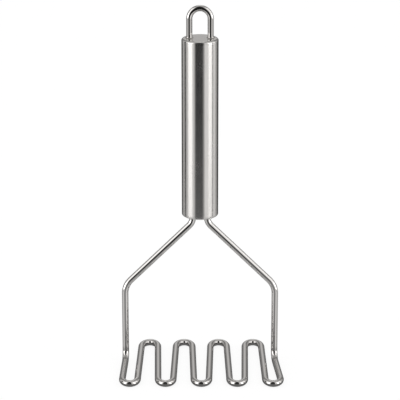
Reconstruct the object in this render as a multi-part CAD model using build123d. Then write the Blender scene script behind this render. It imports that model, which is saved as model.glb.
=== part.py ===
from build123d import *
import os
from math import asin, atan2, degrees, hypot

# Potato masher. One long wire makes the flat wave that mashes and the two legs that carry it, and both its
# ends are welded into a closed tubular handle. A second, thinner wire is bent into the loop that it hangs by.
# Millimetres, +Z up. It stands on its wave: the floor is Z = 0, the origin is the middle of the wave's
# outline on the floor, and -Y is the front. Bend radii are to the middle of the wire. The bends of the wave
# are longer than round ones: their radii are from side to side, and front to back they are stretched.

# Wave of the mashing head
wire_diameter = 4.2
front_bend_count = 5
wave_pitch = 22.6  # from one front bend to the next
front_bend_radius = 4.8
back_bend_radius = 5.4
bend_stretch = 1.5  # length of a bend from front to back, as a multiple of a round one's
head_depth = 73.6  # front to back, over the wire
wave_shift = 0.9  # how far the wave lies to the right of the handle's axis

# Legs, from the wave up to the handle
leg_spacing = 96.1  # between the middles of the two legs
leg_setback = 28.4  # from the back of the wave to the middle of the legs
foot_bend_radius = 6.0
shoulder_height = 52.0  # where the leg's line and the sloping line cross
shoulder_bend_radius = 12.8
neck_spacing = 9.2  # between the middles of the two wires where they enter the handle
neck_drop = 4.8  # from the handle's underside to where the sloping line and the neck's line cross
neck_bend_radius = 8.0
neck_grip = 32.0  # length of wire inside the handle

# Handle: a tube closed by two stamped caps
handle_height = 99.5  # underside of the handle above the floor
handle_length = 115.2
handle_diameter = 23.0
tube_wall = 0.8
cap_gauge = 1.0
cap_edge_drop = 1.4  # height of the cap's rounded edge
cap_edge_draw = 2.0  # width of the cap's rounded edge
cap_rim_land = 0.2  # straight rim under the rounded edge
spigot_depth = 5.0
spigot_lead = 0.4
spigot_corner_radius = 0.8

# Hanging loop
loop_wire_diameter = 3.8
loop_spacing = 13.2  # between the middles of its two ends
loop_rise = 20.6  # above the cap, over the wire
loop_grip = 8.0  # length of wire inside the handle

# Joints between the pieces
slip_fit = 0.05  # radial clearance of a wire in its hole and of a spigot in the tube
weld_size = 0.9  # height and width of the weld round each wire

wire_radius = wire_diameter / 2
loop_wire_radius = loop_wire_diameter / 2
handle_radius = handle_diameter / 2
handle_top = handle_height + handle_length
handle_x = -wave_shift
leg_y = head_depth / 2 - leg_setback
front_row_y = -head_depth / 2 + wire_radius + bend_stretch * front_bend_radius
back_row_y = head_depth / 2 - wire_radius - bend_stretch * back_bend_radius


def squeezed(along):
    """A length from front to back in the squeezed plan in which the wave's bends are round."""
    return along / bend_stretch


def run_lean():
    """Lean, in degrees, of the wave's runs in the squeezed plan: bends are tighter than half its pitch."""
    across = wave_pitch / 2
    along = squeezed(back_row_y - front_row_y)
    return degrees(atan2(across, along) - asin((front_bend_radius + back_bend_radius) / hypot(across, along)))


def end_run_lean(foot, bend, side):
    """Outward lean, in degrees, of the run from a foot to the end bend, in the squeezed plan."""
    across = side * (bend.X - foot.X)
    along = squeezed(foot.Y - bend.Y)
    return degrees(atan2(across, along) + asin(front_bend_radius / hypot(across, along)))


def wave_bend(centre, radius, start, end):
    """Middle line of one bend of the wave, between two angles of the squeezed plan."""
    return EllipticalCenterArc(centre, radius, bend_stretch * radius, start, arc_size=end - start)


def leg(side, foot, touch):
    """Middle line of a leg, from inside the handle down to where it touches the end bend."""
    neck_x = handle_x + side * neck_spacing / 2
    end = Vector(neck_x, leg_y, handle_height + neck_grip)
    neck = Vector(neck_x, leg_y, handle_height - neck_drop)
    shoulder = Vector(foot.X, leg_y, shoulder_height)
    radii = (neck_bend_radius, shoulder_bend_radius, foot_bend_radius)
    return FilletPolyline(end, neck, shoulder, foot, touch, radius=radii)


def head_path():
    """Middle line of the whole wire: left leg, wave, right leg."""
    first_x = -(front_bend_count - 1) / 2 * wave_pitch
    centres = [Vector(first_x + i * wave_pitch, front_row_y, wire_radius) for i in range(front_bend_count)]
    feet = [Vector(handle_x + side * leg_spacing / 2, leg_y, wire_radius) for side in (-1, 1)]
    lean = run_lean()
    left_lean = end_run_lean(feet[0], centres[0], -1)
    right_lean = end_run_lean(feet[1], centres[-1], 1)

    fronts = []
    backs = []
    for i, centre in enumerate(centres):
        start = 180 - left_lean if i == 0 else 180 + lean
        end = 360 + right_lean if i == front_bend_count - 1 else 360 - lean
        fronts.append(wave_bend(centre, front_bend_radius, start, end))
        if i < front_bend_count - 1:
            back = Vector(centre.X + wave_pitch / 2, back_row_y, wire_radius)
            backs.append(wave_bend(back, back_bend_radius, lean, 180 - lean))
    runs = [Line(front @ 1, back @ 1) for front, back in zip(fronts, backs)]
    runs += [Line(back @ 0, front @ 0) for back, front in zip(backs, fronts[1:])]
    legs = [leg(-1, feet[0], fronts[0] @ 0), leg(1, feet[1], fronts[-1] @ 1)]
    return Wire([edge for line in legs + fronts + backs + runs for edge in line.edges()])


def loop_path():
    """Middle line of the hanging loop, from one end inside the handle to the other."""
    left, right = [handle_x + side * loop_spacing / 2 for side in (-1, 1)]
    low = handle_top - loop_grip
    crown = handle_top + loop_rise - loop_wire_radius
    spring = crown - loop_spacing / 2
    arch = ThreePointArc((left, leg_y, spring), (handle_x, leg_y, crown), (right, leg_y, spring))
    sides = [Line((x, leg_y, low), (x, leg_y, spring)) for x in (left, right)]
    return Wire([edge for line in sides + [arch] for edge in line.edges()])


def round_wire(path, radius):
    """Round wire along a path whose ends are both square to it."""
    section = Plane(origin=path @ 0, z_dir=path % 0) * Circle(radius)
    return sweep(section, path=path)


def cap():
    """Stamped cap with its outer face at Z = 0 and its spigot pointing down, on the Z axis."""
    flat_radius = handle_radius - cap_edge_draw
    seat = cap_edge_drop + cap_rim_land
    spigot_radius = handle_radius - tube_wall - slip_fit
    inner_radius = spigot_radius - cap_gauge
    tip = seat + spigot_depth
    rounded_edge = EllipticalCenterArc((flat_radius, -cap_edge_drop), cap_edge_draw, cap_edge_drop)
    rest = Polyline(
        (handle_radius, -cap_edge_drop),
        (handle_radius, -seat),
        (spigot_radius, -seat),
        (spigot_radius, -tip + spigot_lead),
        (spigot_radius - spigot_lead, -tip),
        (inner_radius, -tip),
        (inner_radius, -cap_gauge),
        (0, -cap_gauge),
        (0, 0),
        (flat_radius, 0),
    )
    profile = make_face(rounded_edge.edges() + rest.edges())
    corner = profile.vertices().sort_by_distance((inner_radius, -cap_gauge))[0]
    return revolve(Plane.XZ * fillet(corner, spigot_corner_radius), Axis.Z)


def drilled_cap(spacing, radius):
    """Cap with two holes for the ends of a wire."""
    holes = [Pos(side * spacing / 2, 0, 0) * Cylinder(radius + slip_fit, handle_diameter) for side in (-1, 1)]
    return cap() - holes


def tube():
    """Tube of the handle, between the rims of the caps."""
    length = handle_length - 2 * (cap_edge_drop + cap_rim_land)
    return Cylinder(handle_radius, length) - Cylinder(handle_radius - tube_wall, length)


def weld(radius):
    """Ring of weld metal round a wire that stands on a face at Z = 0."""
    inner = radius + slip_fit
    toe = inner + weld_size
    face = Polyline((toe, 0), (inner, 0), (inner, weld_size))
    hollow = CenterArc((toe, weld_size), weld_size, 180, 90)
    return revolve(Plane.XZ * make_face(face.edges() + hollow.edges()), Axis.Z)


def under(piece):
    """The piece turned upside down and set on the handle's underside."""
    return Pos(handle_x, leg_y, handle_height) * Rot(180, 0, 0) * piece


def on_top(piece):
    """The piece set on the handle's top."""
    return Pos(handle_x, leg_y, handle_top) * piece


def beside(side, spacing):
    """Place of one end of a wire, to one side of the handle's axis."""
    return Pos(side * spacing / 2, 0, 0)


pieces = {
    "masher_wire": round_wire(head_path(), wire_radius),
    "handle_tube": Pos(handle_x, leg_y, handle_height + handle_length / 2) * tube(),
    "bottom_cap": under(drilled_cap(neck_spacing, wire_radius)),
    "top_cap": on_top(drilled_cap(loop_spacing, loop_wire_radius)),
    "hanging_loop": round_wire(loop_path(), loop_wire_radius),
}
for name, side in (("left", -1), ("right", 1)):
    pieces[f"neck_weld_{name}"] = under(beside(side, neck_spacing) * weld(wire_radius))
    pieces[f"loop_weld_{name}"] = on_top(beside(side, loop_spacing) * weld(loop_wire_radius))

os.makedirs("parts", exist_ok=True)
for name, piece in pieces.items():
    export_step(piece, f"parts/{name}.step")
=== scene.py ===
"""Potato masher: its finished looks on the packed model, with the studio that it is shown in.

Metres, +Z up, in the packed model's own frame. The masher stands on its wave of wire, and -Y is the front.
"""

from math import asin, atan2, cos, hypot, pi, radians, sin, tan

import bmesh
import bpy
from bpy.props import FloatProperty, FloatVectorProperty, IntProperty, PointerProperty
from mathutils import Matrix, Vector


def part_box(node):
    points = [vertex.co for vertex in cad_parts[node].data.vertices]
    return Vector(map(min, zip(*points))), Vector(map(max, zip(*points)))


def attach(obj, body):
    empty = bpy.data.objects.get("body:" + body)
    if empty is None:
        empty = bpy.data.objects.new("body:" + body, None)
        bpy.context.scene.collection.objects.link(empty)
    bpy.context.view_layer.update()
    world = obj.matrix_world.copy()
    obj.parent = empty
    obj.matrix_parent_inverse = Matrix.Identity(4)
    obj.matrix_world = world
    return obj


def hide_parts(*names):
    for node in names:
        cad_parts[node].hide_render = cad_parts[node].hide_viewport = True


bl_info = {
    "name": "Potato masher",
    "version": (1, 0, 0),
    "blender": (4, 5, 0),
    "location": "3D View > Sidebar > Masher",
    "description": "Bends the masher's wires, turns its handle and lights it in a plain studio",
    "category": "Add Mesh",
}

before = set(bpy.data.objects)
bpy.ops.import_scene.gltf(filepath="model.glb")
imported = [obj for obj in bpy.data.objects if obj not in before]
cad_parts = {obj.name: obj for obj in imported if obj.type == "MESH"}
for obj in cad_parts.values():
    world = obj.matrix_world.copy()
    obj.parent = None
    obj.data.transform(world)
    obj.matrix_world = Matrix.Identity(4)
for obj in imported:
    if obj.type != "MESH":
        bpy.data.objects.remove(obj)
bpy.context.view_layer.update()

BODY = "root"
MERGE_DISTANCE = 0.000001
SUPPORT = 0.0004  # from a bend or a rounded edge to the ring that keeps the shading beside it straight
SHARP_FROM = radians(35)  # two faces that meet at more than this show a corner

# Steps along one bend or rounding
BEND_STEPS = 32
CAP_EDGE_STEPS = 16
CAP_CORNER_STEPS = 6
ROUNDING_STEPS = 4
WELD_STEPS = 8

# Sides round an axis
HANDLE_SIDES = 160
HOLE_SIDES = 48
WELD_SIDES = 64

# Shares of a cap's gauge
SPIGOT_LEAD = 0.4
CAP_CORNER = 0.8

WELD_WAVES = (3, 5)  # waves round a weld, which together make it uneven
SHEEN_TURN = 0.25  # of a full turn: the sheen's longer spread lies along the tube
SMUDGE_DIMMING = 0.08  # how much a full smudge dims the steel


def middle(node, axis):
    """Middle of a packed piece along one axis."""
    low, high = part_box(node)
    return (low[axis] + high[axis]) / 2


def length_property(name, description, default, smallest=0.0):
    """A length in metres."""
    return FloatProperty(
        name=name,
        description=description,
        default=default,
        min=smallest,
        unit="LENGTH",
        subtype="DISTANCE",
        precision=5,
    )


def share_property(name, description, default):
    """A share from 0 to 1."""
    return FloatProperty(
        name=name, description=description, default=default, min=0.0, max=1.0, subtype="FACTOR"
    )


def colour_property(name, description, default):
    """A scene-linear colour."""
    return FloatVectorProperty(
        name=name, description=description, default=default, size=3, min=0.0, max=1.0, subtype="COLOR"
    )


class MasherHead(bpy.types.PropertyGroup):
    """Sizes of the masher wire.

    Bend radii are to the middle of the wire, and those of the wave from side to side.
    """

    wire_diameter: length_property("Wire", "Thickness of the masher wire", 0.0042, 0.001)
    bend_count: IntProperty(
        name="Front bends", description="Bends along the front of the wave", default=5, min=2, max=12
    )
    pitch: length_property("Pitch", "Distance from one front bend to the next", 0.0226, 0.01)
    front_radius: length_property("Front bend", "Radius of the bends along the front", 0.0048, 0.002)
    back_radius: length_property("Back bend", "Radius of the bends along the back", 0.0054, 0.002)
    stretch: FloatProperty(
        name="Bend stretch",
        description="Length of the wave's bends, against round ones",
        default=1.5,
        min=0.5,
        max=3.0,
    )
    leg_spacing: length_property("Leg spacing", "Distance between the middles of the legs", 0.0961, 0.02)
    leg_y: length_property(
        "Leg place", "Where the legs and the handle stand, from front to back", middle("handle_tube", 1), -1.0
    )
    foot_radius: length_property("Foot bend", "Radius of the bend at each foot", 0.006, 0.002)
    shoulder_height: length_property("Shoulder", "Height where leg and sloping wire would cross", 0.052, 0.01)
    shoulder_radius: length_property("Shoulder bend", "Radius of the shoulder bends", 0.0128, 0.002)
    neck_spacing: length_property("Neck spacing", "Distance between the wires at the handle", 0.0092, 0.004)
    neck_drop: length_property(
        "Neck drop", "How far under the handle sloping wire and neck would cross", 0.0048, 0.001
    )
    neck_radius: length_property("Neck bend", "Radius of the neck bends", 0.008, 0.002)
    neck_grip: length_property("Neck grip", "Length of wire inside the handle", 0.032, 0.005)


class MasherHandle(bpy.types.PropertyGroup):
    """Sizes of the handle: a tube and its two stamped caps."""

    diameter: length_property("Diameter", "Outer diameter of the handle", 0.023, 0.01)
    tube_wall: length_property("Tube wall", "Thickness of the tube's wall", 0.0008, 0.0003)
    tube_edge: length_property("Tube edge", "Rounding of the tube's two ends", 0.0002)
    cap_gauge: length_property("Cap gauge", "Thickness of the caps' sheet", 0.001, 0.0003)
    cap_edge_drop: length_property("Cap edge height", "Height of the caps' rounded edge", 0.0014, 0.0002)
    cap_edge_draw: length_property("Cap edge width", "Width of the caps' rounded edge", 0.002, 0.0002)
    cap_rim_land: length_property("Cap rim", "Straight rim under the rounded edge", 0.0002)
    spigot_depth: length_property("Spigot", "How far a cap reaches into the tube", 0.005, 0.001)
    slip_fit: length_property(
        "Slip fit", "Clearance of a spigot in the tube, and of a wire in its hole", 0.00005
    )


class MasherLoop(bpy.types.PropertyGroup):
    """Sizes of the hanging loop and of the welds at the feet of both wires."""

    wire_diameter: length_property("Wire", "Thickness of the loop's wire", 0.0038, 0.001)
    spacing: length_property("Spacing", "Distance between the middles of its two ends", 0.0132, 0.005)
    rise: length_property("Rise", "Height of the loop above the cap", 0.0206, 0.008)
    grip: length_property("Grip", "Length of wire inside the handle", 0.008, 0.002)
    weld_size: length_property("Weld", "Height and width of the weld round each wire", 0.0009, 0.0002)
    weld_ripple: share_property("Weld ripple", "Unevenness of the weld, as a share of its size", 0.12)


class MasherFinish(bpy.types.PropertyGroup):
    """Colours and polish of the steel."""

    steel: colour_property("Steel", "Colour of bare stainless steel", (0.62, 0.61, 0.60))
    weld: colour_property("Weld", "Colour of the weld metal", (0.5, 0.49, 0.47))
    wire_roughness: share_property("Wire roughness", "Roughness of the drawn and polished wire", 0.06)
    tube_roughness: share_property("Tube roughness", "Roughness of the satin tube", 0.25)
    tube_sheen: share_property(
        "Tube sheen", "How much further its sheen spreads along the tube than round it", 0.97
    )
    cap_roughness: share_property("Cap roughness", "Roughness of the pressed caps", 0.1)
    weld_roughness: share_property("Weld roughness", "Roughness of the weld metal", 0.3)
    grain: share_property("Grain", "Strength of the fine marks along the metal", 0.35)
    wear: share_property("Wear", "Strength of the handling marks", 0.3)


class MasherStudio(bpy.types.PropertyGroup):
    """The camera, the floor and the light."""

    camera_distance: length_property("Camera distance", "From the camera to the point it looks at", 1.3, 0.2)
    camera_pitch: FloatProperty(
        name="Camera pitch", description="How far the camera looks down", default=radians(18), subtype="ANGLE"
    )
    aim_height: length_property("Aim height", "Height of the point that the camera looks at", 0.1095)
    focal_length: FloatProperty(
        name="Focal length",
        description="Of the camera's lens, on a 36 mm sensor",
        default=184.9,
        min=10.0,
        subtype="DISTANCE_CAMERA",
        unit="CAMERA",
    )
    floor_size: length_property("Floor", "Side of the square floor", 8.0, 0.5)
    floor_glow: share_property("Floor glow", "Share of the floor's white that no shadow takes away", 0.87)
    floor_albedo: share_property("Floor albedo", "Share of the light that the floor gives back", 0.13)
    floor_reach: length_property(
        "Floor reach", "How far from the steel the floor still shows in it", 0.36, 0.02
    )
    floor_share: share_property("Floor share", "How much of the floor shows in the steel", 0.45)
    floor_tone: share_property("Floor in steel", "Brightness of the floor in the steel", 0.66)
    shade_reach: length_property(
        "Shade reach", "How close to the steel the floor is shaded in it", 0.03, 0.005
    )
    shade_share: share_property("Shade share", "How much of the shaded floor shows in the steel", 0.85)
    shade_tone: share_property("Shade tone", "Brightness of the shaded floor in the steel", 0.12)
    panel_colour: colour_property(
        "Panel colour", "Colour of the studio's panels in the steel", (1.0, 0.986, 0.972)
    )
    lamp_power: FloatProperty(
        name="Lamp power", description="Power of each soft lamp", default=1.5, min=0.0, unit="POWER"
    )


GROUPS = {
    "masher_head": MasherHead,
    "masher_handle": MasherHandle,
    "masher_loop": MasherLoop,
    "masher_finish": MasherFinish,
    "masher_studio": MasherStudio,
}


# Node trees


def set_inputs(tree, node, inputs):
    """Link each of a node's sockets that is given a socket, and set each that is given a value."""
    for key, value in inputs.items():
        if isinstance(value, bpy.types.NodeSocket):
            tree.links.new(value, node.inputs[key])
        else:
            node.inputs[key].default_value = value


def add_node(tree, kind, inputs=None, **settings):
    """Add a node with its own settings and its sockets' links and values."""
    node = tree.nodes.new(kind)
    for name, value in settings.items():
        setattr(node, name, value)
    set_inputs(tree, node, inputs or {})
    return node


def maths(tree, operation, *values):
    """Output of a Math node."""
    return add_node(tree, "ShaderNodeMath", dict(enumerate(values)), operation=operation).outputs[0]


def new_group(name, kind, inputs, outputs):
    """A node group with named sockets. Returns the tree, its input node and its output node."""
    tree = bpy.data.node_groups.new(name, kind)
    for in_out, sockets in (("INPUT", inputs), ("OUTPUT", outputs)):
        for label, socket_type, default in sockets:
            socket = tree.interface.new_socket(name=label, in_out=in_out, socket_type=socket_type)
            if default is not None:
                socket.default_value = default
    return tree, tree.nodes.new("NodeGroupInput"), tree.nodes.new("NodeGroupOutput")


def use_group(tree, group, inputs):
    """Place a shader node group in a tree."""
    return add_node(tree, "ShaderNodeGroup", inputs, node_tree=group)


def bent_wire_tree():
    """Geometry Nodes: a line of corners with a bend radius at each becomes round wire.

    Each point of the wire also stores where it would lie if the wire were straightened along Z.
    """
    inputs = (
        ("Geometry", "NodeSocketGeometry", None),
        ("Wire Radius", "NodeSocketFloat", 0.002),
        ("Bend Segments", "NodeSocketInt", 24),
        ("Sides", "NodeSocketInt", 40),
        ("Finish", "NodeSocketMaterial", None),
    )
    outputs = (("Geometry", "NodeSocketGeometry", None),)
    tree, given, made = new_group("Bent wire", "GeometryNodeTree", inputs, outputs)
    add = add_node

    line = add(tree, "GeometryNodeMeshToCurve", {"Mesh": given.outputs["Geometry"]})
    radius = add(tree, "GeometryNodeInputNamedAttribute", {"Name": "bend_radius"}, data_type="FLOAT")
    bends = {
        "Curve": line.outputs["Curve"],
        "Count": given.outputs["Bend Segments"],
        "Radius": radius.outputs["Attribute"],
        "Limit Radius": True,
    }
    bent = add(tree, "GeometryNodeFilletCurve", bends, mode="POLY")

    # Two fillets that make one U meet in the middle, and their shared point is merged.
    thread = add(tree, "GeometryNodeCurveToMesh", {"Curve": bent.outputs["Curve"]})
    merged = add(
        tree,
        "GeometryNodeMergeByDistance",
        {"Geometry": thread.outputs["Mesh"], "Distance": MERGE_DISTANCE},
    )
    path = add(tree, "GeometryNodeMeshToCurve", {"Mesh": merged.outputs["Geometry"]})
    section = add(
        tree,
        "GeometryNodeCurvePrimitiveCircle",
        {"Resolution": given.outputs["Sides"], "Radius": given.outputs["Wire Radius"]},
        mode="RADIUS",
    )

    along = add(tree, "GeometryNodeCaptureAttribute", {"Geometry": path.outputs["Curve"]}, domain="POINT")
    along.capture_items.new("FLOAT", "Length")
    tree.links.new(add(tree, "GeometryNodeSplineParameter").outputs["Length"], along.inputs["Length"])
    around = add(tree, "GeometryNodeCaptureAttribute", {"Geometry": section.outputs["Curve"]}, domain="POINT")
    around.capture_items.new("VECTOR", "Place")
    tree.links.new(add(tree, "GeometryNodeInputPosition").outputs["Position"], around.inputs["Place"])

    wire = add(
        tree,
        "GeometryNodeCurveToMesh",
        {"Curve": along.outputs["Geometry"], "Profile Curve": around.outputs["Geometry"], "Fill Caps": True},
    )
    place = add(tree, "ShaderNodeSeparateXYZ", {"Vector": around.outputs["Place"]})
    straight = add(
        tree,
        "ShaderNodeCombineXYZ",
        {"X": place.outputs["X"], "Y": place.outputs["Y"], "Z": along.outputs["Length"]},
    )
    stored = add(
        tree,
        "GeometryNodeStoreNamedAttribute",
        {"Geometry": wire.outputs["Mesh"], "Name": "straightened", "Value": straight.outputs["Vector"]},
        data_type="FLOAT_VECTOR",
        domain="POINT",
    )
    smooth = add(
        tree,
        "GeometryNodeSetShadeSmooth",
        {"Geometry": stored.outputs["Geometry"], "Shade Smooth": True},
    )
    real = add(tree, "GeometryNodeRealizeInstances", {"Geometry": smooth.outputs["Geometry"]})
    finished = add(
        tree,
        "GeometryNodeSetMaterial",
        {"Geometry": real.outputs["Geometry"], "Material": given.outputs["Finish"]},
    )
    tree.links.new(finished.outputs["Geometry"], made.inputs["Geometry"])
    return tree


def drawn_grain_group():
    """Shader group: fine marks along Z of the given vector, as drawing and brushing leave on steel."""
    inputs = (
        ("Vector", "NodeSocketVector", None),
        ("Lines Per Metre", "NodeSocketFloat", 2500.0),
        ("Marks Per Metre", "NodeSocketFloat", 25.0),
        ("Strength", "NodeSocketFloat", 0.3),
    )
    outputs = (("Height", "NodeSocketFloat", None), ("Tone", "NodeSocketFloat", None))
    tree, given, made = new_group("Drawn grain", "ShaderNodeTree", inputs, outputs)
    across = given.outputs["Lines Per Metre"]
    scale = add_node(
        tree,
        "ShaderNodeCombineXYZ",
        {"X": across, "Y": across, "Z": given.outputs["Marks Per Metre"]},
    )
    stretched = add_node(
        tree,
        "ShaderNodeVectorMath",
        {0: given.outputs["Vector"], 1: scale.outputs["Vector"]},
        operation="MULTIPLY",
    )
    lines = add_node(
        tree,
        "ShaderNodeTexNoise",
        {"Vector": stretched.outputs["Vector"], "Scale": 1.0, "Detail": 3.0, "Roughness": 0.6},
    )
    centred = maths(tree, "SUBTRACT", lines.outputs["Fac"], 0.5)
    height = maths(tree, "MULTIPLY", centred, given.outputs["Strength"])
    tree.links.new(height, made.inputs["Height"])
    tree.links.new(maths(tree, "ADD", height, 1.0), made.inputs["Tone"])
    return tree


def handling_wear_group():
    """Shader group: faint smudges, as a multiplier of the roughness and one of the colour."""
    inputs = (
        ("Vector", "NodeSocketVector", None),
        ("Smudges Per Metre", "NodeSocketFloat", 60.0),
        ("Strength", "NodeSocketFloat", 0.3),
    )
    outputs = (("Roughness Factor", "NodeSocketFloat", None), ("Colour Factor", "NodeSocketFloat", None))
    tree, given, made = new_group("Handling wear", "ShaderNodeTree", inputs, outputs)
    smudges = add_node(
        tree,
        "ShaderNodeTexNoise",
        {
            "Vector": given.outputs["Vector"],
            "Scale": given.outputs["Smudges Per Metre"],
            "Detail": 5.0,
            "Roughness": 0.55,
        },
    )
    centred = maths(tree, "MULTIPLY", maths(tree, "SUBTRACT", smudges.outputs["Fac"], 0.5), 2.0)
    amount = maths(tree, "MULTIPLY", centred, given.outputs["Strength"])
    tree.links.new(maths(tree, "ADD", amount, 1.0), made.inputs["Roughness Factor"])
    dimming = maths(tree, "MULTIPLY", amount, SMUDGE_DIMMING)
    tree.links.new(maths(tree, "SUBTRACT", 1.0, dimming), made.inputs["Colour Factor"])
    return tree


def steel(name, colour, roughness, anisotropy, coordinates, lines, marks, bump, finish):
    """A stainless steel finish whose grain follows the given coordinates.

    The coordinates are the attribute of a straightened wire, or the object's own when there is none.
    The anisotropy spreads the sheen along an upright tube.
    """
    material = bpy.data.materials.new(name)
    material.use_nodes = True
    tree = material.node_tree
    tree.nodes.clear()
    if coordinates:
        source = add_node(tree, "ShaderNodeAttribute", attribute_name=coordinates).outputs["Vector"]
    else:
        source = add_node(tree, "ShaderNodeTexCoord").outputs["Object"]
    grain = use_group(
        tree,
        shared_group("Drawn grain"),
        {"Vector": source, "Lines Per Metre": lines, "Marks Per Metre": marks, "Strength": finish.grain},
    )
    wear = use_group(tree, shared_group("Handling wear"), {"Vector": source, "Strength": finish.wear})
    tinted = add_node(
        tree,
        "ShaderNodeVectorMath",
        {0: tuple(colour), "Scale": wear.outputs["Colour Factor"]},
        operation="SCALE",
    )
    grained = maths(tree, "MULTIPLY", grain.outputs["Tone"], roughness)
    rough = maths(tree, "MULTIPLY", grained, wear.outputs["Roughness Factor"])
    relief = add_node(
        tree,
        "ShaderNodeBump",
        {"Strength": 1.0, "Distance": bump, "Height": grain.outputs["Height"]},
    )
    shader = add_node(
        tree,
        "ShaderNodeBsdfPrincipled",
        {
            "Base Color": tinted.outputs["Vector"],
            "Metallic": 1.0,
            "Roughness": rough,
            "Anisotropic": anisotropy,
            "Anisotropic Rotation": SHEEN_TURN,
            "Normal": relief.outputs["Normal"],
        },
    )
    output = tree.nodes.new("ShaderNodeOutputMaterial")
    tree.links.new(shader.outputs["BSDF"], output.inputs["Surface"])
    return material


SHARED_GROUPS = {
    "Bent wire": bent_wire_tree,
    "Drawn grain": drawn_grain_group,
    "Handling wear": handling_wear_group,
}


def shared_group(name):
    """A node group that several pieces use, built the first time it is asked for."""
    return bpy.data.node_groups.get(name) or SHARED_GROUPS[name]()


def finish_material(name, finish):
    """One of the masher's finishes, built the first time it is asked for."""
    kept = bpy.data.materials.get(name)
    if kept:
        return kept
    # colour, roughness, anisotropy, coordinates, lines per metre, marks per metre, depth of the marks
    recipes = {
        "Polished wire": (finish.steel, finish.wire_roughness, 0.0, "straightened", 3000.0, 20.0, 0.000002),
        "Satin tube": (finish.steel, finish.tube_roughness, finish.tube_sheen, None, 2500.0, 12.0, 0.000002),
        "Pressed cap": (finish.steel, finish.cap_roughness, 0.0, None, 1200.0, 1200.0, 0.000001),
        "Weld metal": (finish.weld, finish.weld_roughness, 0.0, None, 2500.0, 2500.0, 0.00002),
    }
    return steel(name, *recipes[name], finish)


# Pieces


def place_piece(mesh, node, material):
    """Show a mesh in place of a packed piece of the same name."""
    if not mesh.materials:
        mesh.materials.append(material)
    piece = bpy.data.objects.new(f"{node}_finished", mesh)
    bpy.context.scene.collection.objects.link(piece)
    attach(piece, BODY)
    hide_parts(node)


def with_supports(corners):
    """The corners with two more points on each straight run, near its ends, to keep its shading straight."""
    places = [Vector(place) for place, _ in corners]
    reaches = [0.0]
    for before, here, after, (_, radius) in zip(places, places[1:], places[2:], corners[1:]):
        reaches.append(radius * tan((here - before).angle(after - here) / 2))
    reaches.append(0.0)
    line = [corners[0]]
    for i, corner in enumerate(corners[1:]):
        start, end = places[i], places[i + 1]
        run = end - start
        near, far = reaches[i] + SUPPORT, run.length - reaches[i + 1] - SUPPORT
        if far - near > SUPPORT:
            line += [(start + run.normalized() * reach, 0.0) for reach in (near, far)]
        line.append(corner)
    return line


def bend_wire(name, corners, wire_radius, material):
    """Plain mesh of a round wire, from its corners as (place, bend radius)."""
    corners = with_supports(corners)
    line = bpy.data.meshes.new(name)
    line.from_pydata([place for place, _ in corners], [(i, i + 1) for i in range(len(corners) - 1)], [])
    radii = line.attributes.new("bend_radius", "FLOAT", "POINT")
    radii.data.foreach_set("value", [radius for _, radius in corners])
    guide = bpy.data.objects.new(name, line)
    bpy.context.scene.collection.objects.link(guide)

    tree = shared_group("Bent wire")
    modifier = guide.modifiers.new("Bent wire", "NODES")
    modifier.node_group = tree
    values = {"Wire Radius": wire_radius, "Finish": material}
    for item in tree.interface.items_tree:
        if item.item_type == "SOCKET" and item.in_out == "INPUT" and item.name in values:
            modifier[item.identifier] = values[item.name]

    evaluated = guide.evaluated_get(bpy.context.evaluated_depsgraph_get())
    mesh = bpy.data.meshes.new_from_object(evaluated)
    guide.modifiers.remove(modifier)
    bpy.data.objects.remove(guide)
    if len(mesh.polygons) == 0:
        raise RuntimeError(f"{name}: the wire came out empty")
    return mesh


def run_lean(head, front_y, back_y):
    """Lean, in radians, of the wave's runs in the squeezed plan in which its bends are round."""
    across = head.pitch / 2
    along = (back_y - front_y) / head.stretch
    return atan2(across, along) - asin((head.front_radius + head.back_radius) / hypot(across, along))


def end_lean(head, foot_to_bend, along):
    """Outward lean, in radians, of the run from a foot to the end bend in that plan."""
    along /= head.stretch
    return atan2(foot_to_bend, along) + asin(head.front_radius / hypot(foot_to_bend, along))


def wave_corners(head, handle_x):
    """Points of the flat wave, from left to right, as (place, bend radius).

    Its bends come as close points without a bend radius.
    """
    low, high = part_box("masher_wire")
    wire_radius = head.wire_diameter / 2
    front_y = low.y + wire_radius + head.stretch * head.front_radius
    back_y = high.y - wire_radius - head.stretch * head.back_radius
    lean = run_lean(head, front_y, back_y)
    first_x = -(head.bend_count - 1) / 2 * head.pitch
    last_x = -first_x
    left_foot, right_foot = [handle_x + side * head.leg_spacing / 2 for side in (-1, 1)]
    left_lean, right_lean = [
        end_lean(head, across, head.leg_y - front_y) for across in (left_foot - first_x, last_x - right_foot)
    ]

    points = []
    for i in range(head.bend_count):
        x = first_x + i * head.pitch
        start = pi - left_lean if i == 0 else pi + lean
        end = 2 * pi + right_lean if i == head.bend_count - 1 else 2 * pi - lean
        reach = head.front_radius
        points += arc((x, front_y), reach, head.stretch * reach, start, end, BEND_STEPS)
        if i < head.bend_count - 1:
            reach = head.back_radius
            centre = (x + head.pitch / 2, back_y)
            points += arc(centre, reach, head.stretch * reach, pi - lean, lean, BEND_STEPS)
    return [((x, y, wire_radius), 0.0) for x, y in points]


def leg_corners(head, side, handle_x, handle_low):
    """Corners of one leg, from inside the handle down to its foot, as (place, bend radius)."""
    neck_x = handle_x + side * head.neck_spacing / 2
    foot_x = handle_x + side * head.leg_spacing / 2
    return [
        ((neck_x, head.leg_y, handle_low + head.neck_grip), 0.0),
        ((neck_x, head.leg_y, handle_low - head.neck_drop), head.neck_radius),
        ((foot_x, head.leg_y, head.shoulder_height), head.shoulder_radius),
        ((foot_x, head.leg_y, head.wire_diameter / 2), head.foot_radius),
    ]


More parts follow.
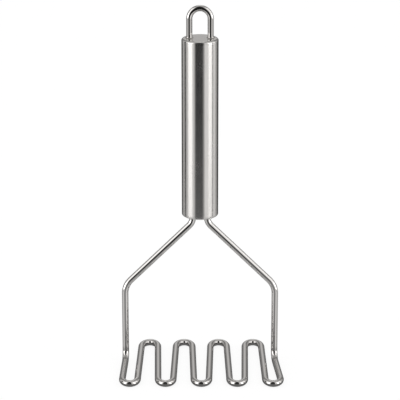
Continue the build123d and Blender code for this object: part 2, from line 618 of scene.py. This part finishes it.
def turned_ring(profile, sides, origin, ripple=None):
    """Closed mesh of a profile turned round an upright axis.

    The profile is a closed line of (radius, height) points. A radius of 0 is a pole. The ripple, if any,
    moves a point's radius by what it gives for the angle and the point's place in the profile.
    """
    shape = bmesh.new()
    rings = []
    for index, (radius, height) in enumerate(profile):
        if radius == 0:
            rings.append([shape.verts.new(origin + Vector((0, 0, height)))])
            continue
        ring = []
        for step in range(sides):
            angle = 2 * pi * step / sides
            reach = radius + (ripple(angle, index) if ripple else 0)
            ring.append(shape.verts.new(origin + Vector((reach * cos(angle), reach * sin(angle), height))))
        rings.append(ring)
    for index, ring in enumerate(rings):
        beside = rings[(index + 1) % len(rings)]
        if len(ring) == 1 and len(beside) == 1:
            continue
        for step in range(sides):
            after = (step + 1) % sides
            if len(ring) == 1:
                shape.faces.new((ring[0], beside[after], beside[step]))
            elif len(beside) == 1:
                shape.faces.new((ring[step], ring[after], beside[0]))
            else:
                shape.faces.new((ring[step], ring[after], beside[after], beside[step]))
    bmesh.ops.recalc_face_normals(shape, faces=shape.faces)
    mesh = bpy.data.meshes.new("turned")
    shape.to_mesh(mesh)
    shape.free()
    return mesh


def shade(mesh):
    """Smooth shading with the true corners kept sharp."""
    mesh.shade_smooth()
    mesh.set_sharp_from_angle(angle=SHARP_FROM)


def arc(centre, width, height, start, end, steps):
    """Points of an arc of an ellipse, with angles in radians."""
    turns = [start + (end - start) * i / steps for i in range(steps + 1)]
    return [(centre[0] + width * cos(turn), centre[1] + height * sin(turn)) for turn in turns]


def cap_profile(handle):
    """Profile of a cap with its outer face at height 0 and its spigot pointing down."""
    radius = handle.diameter / 2
    flat = radius - handle.cap_edge_draw
    seat = handle.cap_edge_drop + handle.cap_rim_land
    spigot = radius - handle.tube_wall - handle.slip_fit
    inner = spigot - handle.cap_gauge
    tip = seat + handle.spigot_depth
    rim = handle.cap_rim_land / 2
    lead = handle.cap_gauge * SPIGOT_LEAD
    corner = handle.cap_gauge * CAP_CORNER
    edge = arc(
        (flat, -handle.cap_edge_drop), handle.cap_edge_draw, handle.cap_edge_drop, pi / 2, 0, CAP_EDGE_STEPS
    )
    underside = arc(
        (inner - corner, -handle.cap_gauge - corner), corner, corner, 0, pi / 2, CAP_CORNER_STEPS
    )
    return [
        (0, 0),
        (flat - SUPPORT, 0),
        *edge,
        (radius, -seat + rim),
        *arc((radius - rim, -seat + rim), rim, rim, 0, -pi / 2, ROUNDING_STEPS)[1:],
        (spigot, -seat),
        (spigot, -tip + lead),
        (spigot - lead, -tip),
        (inner, -tip),
        *underside,
        (0, -handle.cap_gauge),
    ]


def drill(mesh, places, radius, depth):
    """Mesh with upright round holes through it."""
    body = bpy.data.objects.new("drilled", mesh)
    bpy.context.scene.collection.objects.link(body)
    drills = []
    for place in places:
        profile = [(0, -depth), (radius, -depth), (radius, depth), (0, depth)]
        rod = turned_ring(profile, HOLE_SIDES, place)
        bit = bpy.data.objects.new("drill", rod)
        bpy.context.scene.collection.objects.link(bit)
        cut = body.modifiers.new("Hole", "BOOLEAN")
        cut.operation = "DIFFERENCE"
        cut.solver = "EXACT"
        cut.object = bit
        drills.append(bit)
    evaluated = body.evaluated_get(bpy.context.evaluated_depsgraph_get())
    drilled = bpy.data.meshes.new_from_object(evaluated)
    body.modifiers.clear()
    for tool in [body, *drills]:
        bpy.data.objects.remove(tool)
    if len(drilled.polygons) == 0:
        raise RuntimeError("the drilled mesh came out empty")
    return drilled


def handle_axis():
    """Where the handle's axis stands."""
    return middle("handle_tube", 0), middle("handle_tube", 1)


class MASHER_OT_head(bpy.types.Operator):
    """Bend the masher wire: both legs, their shoulders and the flat wave"""

    bl_idname = "masher.head"
    bl_label = "Masher wire"

    def execute(self, context):
        head = context.scene.masher_head
        handle_x = handle_axis()[0]
        handle_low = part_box("bottom_cap")[0].z
        left, right = [leg_corners(head, side, handle_x, handle_low) for side in (-1, 1)]
        corners = left + wave_corners(head, handle_x) + right[::-1]
        material = finish_material("Polished wire", context.scene.masher_finish)
        mesh = bend_wire("masher_wire_line", corners, head.wire_diameter / 2, material)
        place_piece(mesh, "masher_wire", material)
        return {"FINISHED"}


class MASHER_OT_loop(bpy.types.Operator):
    """Bend the hanging loop and stand it in the top cap"""

    bl_idname = "masher.loop"
    bl_label = "Hanging loop"

    def execute(self, context):
        loop = context.scene.masher_loop
        x, y = handle_axis()
        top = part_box("top_cap")[1].z
        crown = top + loop.rise - loop.wire_diameter / 2
        left, right = x - loop.spacing / 2, x + loop.spacing / 2
        corners = [
            ((left, y, top - loop.grip), 0.0),
            ((left, y, crown), loop.spacing / 2),
            ((right, y, crown), loop.spacing / 2),
            ((right, y, top - loop.grip), 0.0),
        ]
        material = finish_material("Polished wire", context.scene.masher_finish)
        mesh = bend_wire("hanging_loop_line", corners, loop.wire_diameter / 2, material)
        place_piece(mesh, "hanging_loop", material)
        return {"FINISHED"}


class MASHER_OT_tube(bpy.types.Operator):
    """Turn the handle's tube"""

    bl_idname = "masher.tube"
    bl_label = "Handle tube"

    def execute(self, context):
        handle = context.scene.masher_handle
        low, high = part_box("handle_tube")
        outer = handle.diameter / 2
        inner = outer - handle.tube_wall
        edge = handle.tube_edge
        height = high.z - low.z
        profile = [
            *arc((outer - edge, edge), edge, edge, -pi / 2, 0, ROUNDING_STEPS),
            (outer, edge + SUPPORT),
            (outer, height - edge - SUPPORT),
            *arc((outer - edge, height - edge), edge, edge, 0, pi / 2, ROUNDING_STEPS),
            (inner, height),
            (inner, 0),
        ]
        mesh = turned_ring(profile, HANDLE_SIDES, Vector((*handle_axis(), low.z)))
        shade(mesh)
        material = finish_material("Satin tube", context.scene.masher_finish)
        place_piece(mesh, "handle_tube", material)
        return {"FINISHED"}


class MASHER_OT_caps(bpy.types.Operator):
    """Press the two caps of the handle and drill them for their wires"""

    bl_idname = "masher.caps"
    bl_label = "Caps"

    def execute(self, context):
        handle = context.scene.masher_handle
        head = context.scene.masher_head
        loop = context.scene.masher_loop
        axis = handle_axis()
        material = finish_material("Pressed cap", context.scene.masher_finish)
        caps = (
            ("top_cap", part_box("top_cap")[1].z, 1, loop.spacing, loop.wire_diameter),
            ("bottom_cap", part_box("bottom_cap")[0].z, -1, head.neck_spacing, head.wire_diameter),
        )
        for node, face, up, spacing, wire in caps:
            profile = [(radius, up * height) for radius, height in cap_profile(handle)]
            mesh = turned_ring(profile, HANDLE_SIDES, Vector((*axis, face)))
            places = [Vector((axis[0] + side * spacing / 2, axis[1], face)) for side in (-1, 1)]
            drilled = drill(mesh, places, wire / 2 + handle.slip_fit, handle.diameter)
            shade(drilled)
            drilled.materials.clear()
            place_piece(drilled, node, material)
        return {"FINISHED"}


class MASHER_OT_welds(bpy.types.Operator):
    """Lay the ring of weld round each wire where it enters the handle"""

    bl_idname = "masher.welds"
    bl_label = "Welds"

    def execute(self, context):
        handle = context.scene.masher_handle
        head = context.scene.masher_head
        loop = context.scene.masher_loop
        x, y = handle_axis()
        material = finish_material("Weld metal", context.scene.masher_finish)
        size = loop.weld_size
        slow, quick = WELD_WAVES
        feet = (
            ("loop_weld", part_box("top_cap")[1].z, 1, loop.spacing, loop.wire_diameter),
            ("neck_weld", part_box("bottom_cap")[0].z, -1, head.neck_spacing, head.wire_diameter),
        )
        for name, face, up, spacing, wire in feet:
            inner = wire / 2 + handle.slip_fit
            toe = inner + size
            hollow = arc((toe, size), size, size, pi, 3 * pi / 2, WELD_STEPS)
            profile = [(inner, 0), *[(radius, up * height) for radius, height in hollow]]

            for word, side in (("left", -1), ("right", 1)):

                def ripple(angle, index, side=side):
                    """Draws the weld's surface in, unevenly round the wire and more towards the toe."""
                    share = max(0, index - 1) / len(hollow)
                    waves = 0.5 + 0.5 * sin(slow * angle + side) * cos(quick * angle)
                    return -loop.weld_ripple * size * share * waves

                origin = Vector((x + side * spacing / 2, y, face))
                mesh = turned_ring(profile, WELD_SIDES, origin, ripple)
                shade(mesh)
                place_piece(mesh, f"{name}_{word}", material)
        return {"FINISHED"}


# Studio. Angles are in degrees: 0 is the camera's side, and a positive one is to the right.

# name, from, to, blur at left, blur at right, low, high, blur at low and high, brightness
STUDIO_PANELS = (
    ("low wall", -200, 200, 0, 0, -40, 100, 12, 0.05),
    ("side wall", -200, 200, 0, 0, 3, 100, 20, 0.27),
    ("back wall, left part", -200, -166, 0, 14, 11, 100, 16, 0.68),
    ("back wall, right part", 166, 200, 14, 0, 11, 100, 16, 0.68),
    ("skirt", -132, 132, 20, 20, -46, -6, 12, 0.56),
    ("front shade", -20, 14, 12, 12, -46, -6, 12, 0.4),
    ("left pool", -78, -36, 10, 10, -44, -14, 8, 1.0),
    ("right pool", 30, 60, 10, 14, -44, -14, 8, 1.35),
    ("left bounce", -80, -40, 20, 20, -72, -36, 12, 0.45),
    ("right bounce", 40, 80, 20, 20, -72, -36, 12, 0.45),
    ("left side", -136, -110, 16, 8, -14, 50, 10, 0.62),
    ("left side lamp", -112, -72, 8, 6, -8, 50, 8, 1.15),
    ("left fill", -50, -32, 6, 10, -8, 62, 8, 0.85),
    ("left lamp", -78, -49, 8, 10, -8, 62, 8, 1.9),
    ("left lamp, low part", -78, -49, 8, 10, -8, 12, 8, 3.8),
    ("left flag", -112, -98, 4, 4, -60, 30, 12, 0.0),
    ("right fill", 28, 58, 12, 6, -8, 62, 8, 0.95),
    ("right lamp", 55, 80, 8, 4, -8, 62, 8, 1.9),
    ("right lamp, low part", 55, 80, 8, 4, -8, 12, 8, 4.0),
    ("right gap", 80, 89, 3, 3, -40, 62, 6, 0.4),
    ("right strip", 89, 110, 3, 12, -12, 50, 6, 1.5),
    ("right side", 110, 136, 12, 16, 2, 60, 8, 0.64),
    ("upper wall", -200, 200, 0, 0, 58, 100, 30, 0.5),
    ("back light, left part", -200, -148, 0, 16, 50, 100, 12, 0.95),
    ("back light, right part", 148, 200, 16, 0, 50, 100, 12, 0.95),
    ("front flag", -31, 20, 12, 12, -37, 80, 8, 0.0),
    ("front flag, high part", -36, 26, 12, 12, 4, 64, 8, 0.03),
)
GROUND_BRIGHTNESS = 0.55
LEAST_HALF_BLUR = 0.01  # keeps a panel's edge from having no width

LAMPS = (("left_lamp", (-1.1, -0.7, 1.2)), ("right_lamp", (1.1, -0.5, 1.3)))
LAMP_SIZE = 0.9
CAMERA_REACH = 50


def studio_panel_group():
    """Shader group: a soft-edged panel round the masher, by direction."""
    names = (
        "Behind",
        "Azimuth",
        "Elevation",
        "From",
        "To",
        "Left Blur",
        "Right Blur",
        "Low",
        "High",
        "Upright Blur",
        "Brightness",
    )
    inputs = [(name, "NodeSocketFloat", 0.0) for name in names]
    outputs = [("Brightness", "NodeSocketFloat", None)]
    tree, given, made = new_group("Studio panel", "ShaderNodeTree", inputs, outputs)

    def edge(angle, at, blur, rising):
        """Share from 0 to 1 that rises, or falls, where the angle passes one edge of the panel."""
        half = maths(tree, "MULTIPLY", given.outputs[blur], 0.5)
        half = maths(tree, "MAXIMUM", half, LEAST_HALF_BLUR)
        step = add_node(
            tree,
            "ShaderNodeMapRange",
            {
                "Value": given.outputs[angle],
                "From Min": maths(tree, "SUBTRACT", given.outputs[at], half),
                "From Max": maths(tree, "ADD", given.outputs[at], half),
                "To Min": 0.0 if rising else 1.0,
                "To Max": 1.0 if rising else 0.0,
            },
            interpolation_type="SMOOTHSTEP",
        )
        return step.outputs["Result"]

    left = edge("Azimuth", "From", "Left Blur", True)
    right = edge("Azimuth", "To", "Right Blur", False)
    low = edge("Elevation", "Low", "Upright Blur", True)
    high = edge("Elevation", "High", "Upright Blur", False)
    across = maths(tree, "MULTIPLY", left, right)
    upright = maths(tree, "MULTIPLY", low, high)
    mask = maths(tree, "MULTIPLY", across, upright)
    change = maths(tree, "SUBTRACT", given.outputs["Brightness"], given.outputs["Behind"])
    result = maths(tree, "MULTIPLY_ADD", mask, change, given.outputs["Behind"])
    tree.links.new(result, made.inputs["Brightness"])
    return tree


def build_world(studio):
    """World: plain white light and background, and the studio's panels where the steel mirrors it."""
    world = bpy.data.worlds.new("Studio")
    bpy.context.scene.world = world
    world.use_nodes = True
    tree = world.node_tree
    tree.nodes.clear()
    direction = add_node(
        tree,
        "ShaderNodeSeparateXYZ",
        {"Vector": add_node(tree, "ShaderNodeTexCoord").outputs["Generated"]},
    )
    front = maths(tree, "MULTIPLY", direction.outputs["Y"], -1.0)
    azimuth = maths(tree, "DEGREES", maths(tree, "ARCTAN2", direction.outputs["X"], front))
    elevation = maths(tree, "DEGREES", maths(tree, "ARCSINE", direction.outputs["Z"]))
    group = studio_panel_group()
    brightness = add_node(tree, "ShaderNodeValue")
    brightness.outputs[0].default_value = GROUND_BRIGHTNESS
    behind = brightness.outputs[0]
    for name, start, end, left_blur, right_blur, low, high, upright_blur, level in STUDIO_PANELS:
        values = {
            "Behind": behind,
            "Azimuth": azimuth,
            "Elevation": elevation,
            "From": start,
            "To": end,
            "Left Blur": left_blur,
            "Right Blur": right_blur,
            "Low": low,
            "High": high,
            "Upright Blur": upright_blur,
            "Brightness": level,
        }
        panel = use_group(tree, group, values)
        panel.label = name
        behind = panel.outputs["Brightness"]

    rays = add_node(tree, "ShaderNodeLightPath")
    reflected = maths(tree, "MAXIMUM", rays.outputs["Is Glossy Ray"], rays.outputs["Is Transmission Ray"])
    plain = add_node(tree, "ShaderNodeBackground", {"Color": (1, 1, 1, 1), "Strength": 1.0})
    panels = add_node(tree, "ShaderNodeBackground", {"Color": (*studio.panel_colour, 1), "Strength": behind})
    mixed = add_node(tree, "ShaderNodeMixShader", {0: reflected, 1: plain.outputs[0], 2: panels.outputs[0]})
    output = tree.nodes.new("ShaderNodeOutputWorld")
    tree.links.new(mixed.outputs[0], output.inputs["Surface"])


def fading(tree, way, reach, share):
    """A share that fades softly to nothing between half a reach and the whole reach."""
    return add_node(
        tree,
        "ShaderNodeMapRange",
        {"Value": way, "From Min": reach / 2, "From Max": reach, "To Min": share, "To Max": 0.0},
        interpolation_type="SMOOTHSTEP",
    ).outputs["Result"]


def build_floor(studio):
    """A large white floor that keeps the masher's faint shadow. From below it isn't seen.

    In the steel it shows faintly where it is close, and as shaded where the steel nearly touches it.
    """
    material = bpy.data.materials.new("White floor")
    material.use_nodes = True
    tree = material.node_tree
    tree.nodes.clear()
    albedo = studio.floor_albedo
    matt = add_node(tree, "ShaderNodeBsdfDiffuse", {"Color": (albedo, albedo, albedo, 1)})
    glow = add_node(tree, "ShaderNodeEmission", {"Color": (1, 1, 1, 1), "Strength": studio.floor_glow})
    lit = add_node(tree, "ShaderNodeAddShader", {0: matt.outputs[0], 1: glow.outputs[0]})
    clear = add_node(tree, "ShaderNodeBsdfTransparent")
    below = add_node(tree, "ShaderNodeNewGeometry").outputs["Backfacing"]
    rays = add_node(tree, "ShaderNodeLightPath")
    way = rays.outputs["Ray Length"]
    far = add_node(tree, "ShaderNodeEmission", {"Color": (1, 1, 1, 1), "Strength": studio.floor_tone})
    close = add_node(tree, "ShaderNodeEmission", {"Color": (1, 1, 1, 1), "Strength": studio.shade_tone})
    shown = fading(tree, way, studio.floor_reach, studio.floor_share)
    shaded = fading(tree, way, studio.shade_reach, studio.shade_share)
    open_floor = add_node(tree, "ShaderNodeMixShader", {0: shown, 1: clear.outputs[0], 2: far.outputs[0]})
    in_steel = add_node(
        tree, "ShaderNodeMixShader", {0: shaded, 1: open_floor.outputs[0], 2: close.outputs[0]}
    )
    glossy = rays.outputs["Is Glossy Ray"]
    seen = add_node(tree, "ShaderNodeMixShader", {0: glossy, 1: lit.outputs[0], 2: in_steel.outputs[0]})
    sided = add_node(tree, "ShaderNodeMixShader", {0: below, 1: seen.outputs[0], 2: clear.outputs[0]})
    output = tree.nodes.new("ShaderNodeOutputMaterial")
    tree.links.new(sided.outputs[0], output.inputs["Surface"])

    half = studio.floor_size / 2
    mesh = bpy.data.meshes.new("floor")
    corners = [(-half, -half, 0), (half, -half, 0), (half, half, 0), (-half, half, 0)]
    mesh.from_pydata(corners, [], [(0, 1, 2, 3)])
    mesh.materials.append(material)
    floor = bpy.data.objects.new("floor", mesh)
    bpy.context.scene.collection.objects.link(floor)


def aim(thing, place, target):
    """Put a lamp or a camera at a place and point it at a target."""
    thing.location = place
    thing.rotation_euler = (target - place).to_track_quat("-Z", "Y").to_euler()
    bpy.context.scene.collection.objects.link(thing)


class MASHER_OT_studio(bpy.types.Operator):
    """Set the floor, the light and the camera"""

    bl_idname = "masher.studio"
    bl_label = "Studio"

    def execute(self, context):
        studio = context.scene.masher_studio
        context.scene.view_settings.view_transform = "Standard"
        build_world(studio)
        build_floor(studio)

        target = Vector((*handle_axis(), studio.aim_height))
        for name, place in LAMPS:
            light = bpy.data.lights.new(name, "AREA")
            light.size = LAMP_SIZE
            light.energy = studio.lamp_power
            lamp = bpy.data.objects.new(name, light)
            lamp.visible_glossy = False
            aim(lamp, Vector(place), target)

        lens = bpy.data.cameras.new("camera")
        lens.lens = studio.focal_length
        lens.clip_end = CAMERA_REACH
        camera = bpy.data.objects.new("camera", lens)
        pitch = studio.camera_pitch
        back = Vector((0, -cos(pitch), sin(pitch)))
        aim(camera, target + back * studio.camera_distance, target)
        context.scene.camera = camera
        return {"FINISHED"}


class MASHER_PT_sidebar(bpy.types.Panel):
    """Sizes and finishes of the masher, and the steps that make it"""

    bl_idname = "MASHER_PT_sidebar"
    bl_label = "Potato masher"
    bl_space_type = "VIEW_3D"
    bl_region_type = "UI"
    bl_category = "Masher"

    def draw(self, context):
        layout = self.layout
        for key, group in GROUPS.items():
            box = layout.box()
            box.label(text=group.__doc__.split(".")[0])
            for name in group.__annotations__:
                box.prop(getattr(context.scene, key), name)
        for operator in OPERATORS:
            layout.operator(operator.bl_idname)


OPERATORS = (
    MASHER_OT_head,
    MASHER_OT_loop,
    MASHER_OT_tube,
    MASHER_OT_caps,
    MASHER_OT_welds,
    MASHER_OT_studio,
)


def register():
    """Register the classes and give every scene the masher's sizes."""
    for item in (*GROUPS.values(), *OPERATORS, MASHER_PT_sidebar):
        bpy.utils.register_class(item)
    for key, group in GROUPS.items():
        setattr(bpy.types.Scene, key, PointerProperty(type=group))


def unregister():
    """Take the sizes and the classes away again."""
    for key in GROUPS:
        delattr(bpy.types.Scene, key)
    for item in (MASHER_PT_sidebar, *OPERATORS[::-1], *list(GROUPS.values())[::-1]):
        bpy.utils.unregister_class(item)


def main():
    """Make the whole scene."""
    register()
    bpy.ops.masher.head()
    bpy.ops.masher.loop()
    bpy.ops.masher.tube()
    bpy.ops.masher.caps()
    bpy.ops.masher.welds()
    bpy.ops.masher.studio()


if __name__ == "__main__":
    main()
